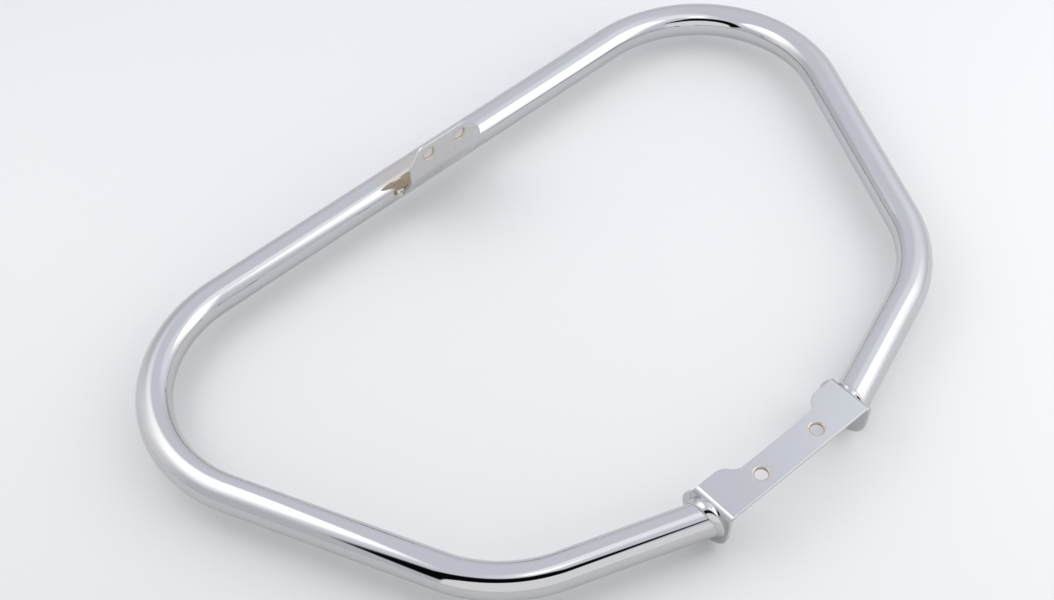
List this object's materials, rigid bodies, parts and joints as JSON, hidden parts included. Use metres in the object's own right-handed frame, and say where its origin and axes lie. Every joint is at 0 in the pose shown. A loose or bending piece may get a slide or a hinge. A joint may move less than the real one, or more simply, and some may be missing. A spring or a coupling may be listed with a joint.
{
  "type": "motorcycle crash bars",
  "caption": "Chrome-plated bent tube loop that guards a motorcycle's engine and legs, with a folded lower bracket and a bent upper bracket drilled for bolts.",
  "frame": {"origin": "middle of the bottom of the whole object's bounding box", "axes": "+X across the motorcycle, +Y from the lower bracket to the top tube, +Z out of the loop's plane on the side of the bolt plates"},
  "size_m": [0.758, 0.503, 0.0978],
  "materials": {
    "chrome": "polished chrome plate",
    "plated_weld": "chrome plate over a weld bead"
  },
  "bodies": {
    "root": {"guard_tube": "chrome", "lower_bracket": "chrome", "upper_bracket": "chrome", "lower_weld_left": "plated_weld", "lower_weld_right": "plated_weld", "upper_weld_left": "plated_weld", "upper_weld_right": "plated_weld"}
  },
  "joints": []
}
